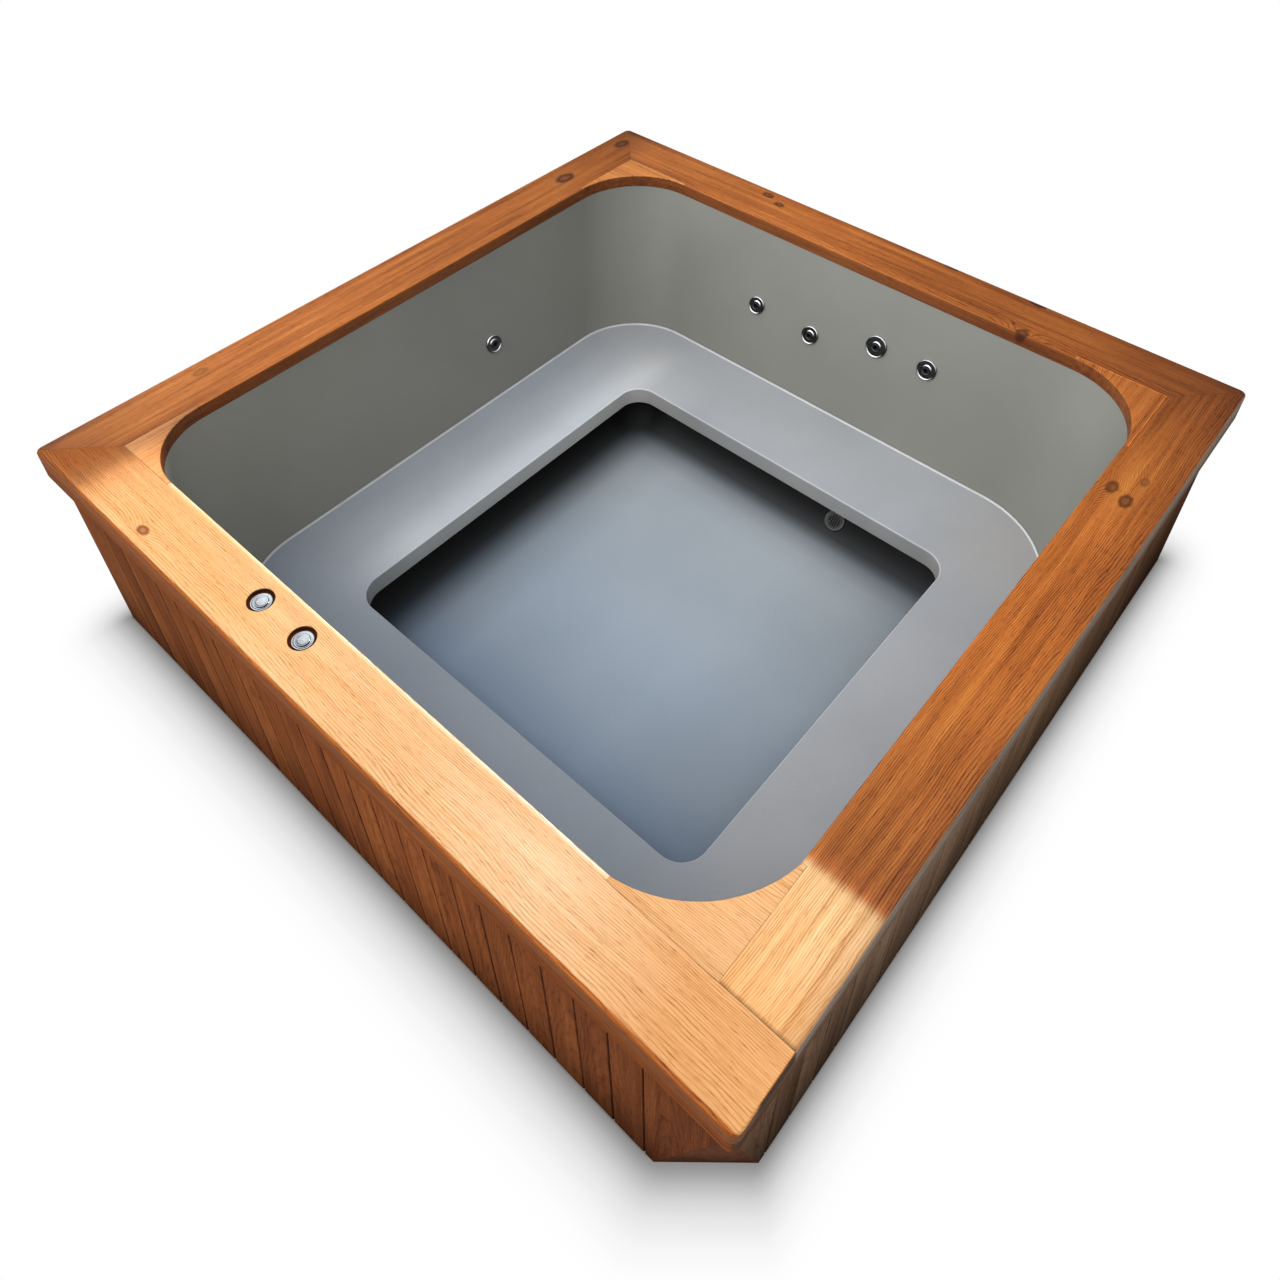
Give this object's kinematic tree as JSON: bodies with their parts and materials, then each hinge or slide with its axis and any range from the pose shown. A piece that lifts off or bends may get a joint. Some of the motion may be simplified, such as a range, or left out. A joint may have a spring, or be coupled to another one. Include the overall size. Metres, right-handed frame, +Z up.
{
  "type": "hot tub",
  "caption": "Square timber-clad hot tub with a wooden rim, an all-round bench, a footwell, adjustable wall jets and air buttons.",
  "frame": {"origin": "on the floor at the middle of the square", "axes": "+Z up, -Y towards the side with the air buttons, +X towards the right-hand side seen from there"},
  "size_m": [2.3, 2.3, 0.71],
  "materials": {
    "rim_timber": "oiled hardwood boards",
    "cladding_timber": "oiled upright boards",
    "frame_timber": "sawn softwood",
    "base_plywood": "marine plywood",
    "shell_laminate": "satin grey gelcoat",
    "bench_laminate": "satin grey gelcoat",
    "pan_laminate": "satin grey gelcoat",
    "sealant": "pale sealant",
    "stainless": "polished stainless",
    "nozzle_plastic": "black moulded plastic",
    "rubber": "black rubber",
    "pipe_plastic": "white pipe plastic",
    "air_tube": "clear-grey tube",
    "chrome": "chrome-plated",
    "motor_paint": "dark painted casting",
    "heater_steel": "stainless tube",
    "box_plastic": "grey moulded plastic"
  },
  "bodies": {
    "tub": {"rim_board_front": "rim_timber", "rim_board_right": "rim_timber", "rim_board_back": "rim_timber", "rim_board_left": "rim_timber", "rim_infill_front": "rim_timber", "rim_infill_right": "rim_timber", "rim_infill_back": "rim_timber", "rim_infill_left": "rim_timber", "rim_apron_front": "rim_timber", "rim_apron_right": "rim_timber", "rim_apron_back": "rim_timber", "rim_apron_left": "rim_timber", "cladding_front": "cladding_timber", "cladding_right": "cladding_timber", "cladding_back": "cladding_timber", "cladding_left": "cladding_timber", "facet_board": "cladding_timber", "rails_front": "frame_timber", "rails_right": "frame_timber", "rails_back": "frame_timber", "rails_left": "frame_timber", "post_front": "frame_timber", "post_right": "frame_timber", "post_back": "frame_timber", "post_left": "frame_timber", "base_panel": "base_plywood", "bench_bearers": "frame_timber", "tub_shell": "shell_laminate", "bench": "bench_laminate", "bench_seal": "sealant", "footwell_pan": "pan_laminate", "suction_cover": "stainless", "suction_body": "pipe_plastic", "jet_gaskets": "rubber", "jet_fittings": "nozzle_plastic", "jet_bodies": "pipe_plastic", "button_housings": "chrome", "button_bellows_1": "rubber", "button_bellows_2": "rubber", "pump_motor": "motor_paint", "pump_wet_end": "nozzle_plastic", "heater": "heater_steel", "water_lines": "pipe_plastic", "suction_pipe": "pipe_plastic", "control_box": "box_plastic", "air_lines": "air_tube"},
    "jet_face_1": {"jet_ring_1": "stainless"},
    "jet_eye_1": {"jet_nozzle_1": "nozzle_plastic"},
    "jet_face_2": {"jet_ring_2": "stainless"},
    "jet_eye_2": {"jet_nozzle_2": "nozzle_plastic"},
    "jet_face_3": {"jet_ring_3": "stainless"},
    "jet_eye_3": {"jet_nozzle_3": "nozzle_plastic"},
    "jet_face_4": {"jet_ring_4": "stainless"},
    "jet_eye_4": {"jet_nozzle_4": "nozzle_plastic"},
    "jet_face_5": {"jet_ring_5": "stainless"},
    "jet_eye_5": {"jet_nozzle_5": "nozzle_plastic"},
    "button_1": {"button_cap_1": "chrome"},
    "button_2": {"button_cap_2": "chrome"}
  },
  "joints": [
    {"name": "jet_face_turn_1", "type": "hinge", "parent": "tub", "child": "jet_face_1", "pos_m": [-0.316, 0.88548, 0.435], "axis": [0, -0.9321, 0.3621], "range_deg": [-120, 0]},
    {"name": "jet_nozzle_tilt_1", "type": "hinge", "parent": "jet_face_1", "child": "jet_eye_1", "pos_m": [-0.316, 0.88734, 0.43428], "axis": [1, 0, 0], "range_deg": [-15, 15]},
    {"name": "jet_face_turn_2", "type": "hinge", "parent": "tub", "child": "jet_face_2", "pos_m": [-0.09, 0.8812, 0.424], "axis": [0, -0.9321, 0.3621], "range_deg": [-120, 0]},
    {"name": "jet_nozzle_tilt_2", "type": "hinge", "parent": "jet_face_2", "child": "jet_eye_2", "pos_m": [-0.09, 0.88306, 0.42328], "axis": [1, 0, 0], "range_deg": [-15, 15]},
    {"name": "jet_face_turn_3", "type": "hinge", "parent": "tub", "child": "jet_face_3", "pos_m": [0.145, 0.9049, 0.485], "axis": [0, -0.9321, 0.3621], "range_deg": [-120, 0]},
    {"name": "jet_nozzle_tilt_3", "type": "hinge", "parent": "jet_face_3", "child": "jet_eye_3", "pos_m": [0.145, 0.90677, 0.48428], "axis": [1, 0, 0], "range_deg": [-15, 15]},
    {"name": "jet_face_turn_4", "type": "hinge", "parent": "tub", "child": "jet_face_4", "pos_m": [0.328, 0.90607, 0.488], "axis": [0, -0.9321, 0.3621], "range_deg": [-120, 0]},
    {"name": "jet_nozzle_tilt_4", "type": "hinge", "parent": "jet_face_4", "child": "jet_eye_4", "pos_m": [0.328, 0.90793, 0.48728], "axis": [1, 0, 0], "range_deg": [-15, 15]},
    {"name": "jet_face_turn_5", "type": "hinge", "parent": "tub", "child": "jet_face_5", "pos_m": [-0.89101, 0.181, 0.389], "axis": [0.9566, 0, 0.2914], "range_deg": [-120, 0]},
    {"name": "jet_nozzle_tilt_5", "type": "hinge", "parent": "jet_face_5", "child": "jet_eye_5", "pos_m": [-0.89292, 0.181, 0.38842], "axis": [0, 1, 0], "range_deg": [-15, 15]},
    {"name": "button_press_1", "type": "slide", "parent": "tub", "child": "button_1", "axis": [0, 0, -1], "range_m": [0, 0.004], "stiffness_N_per_m": 400, "springref_m": -0.006, "deforming": ["button_bellows_1"]},
    {"name": "button_press_2", "type": "slide", "parent": "tub", "child": "button_2", "axis": [0, 0, -1], "range_m": [0, 0.004], "stiffness_N_per_m": 400, "springref_m": -0.006, "deforming": ["button_bellows_2"]}
  ]
}
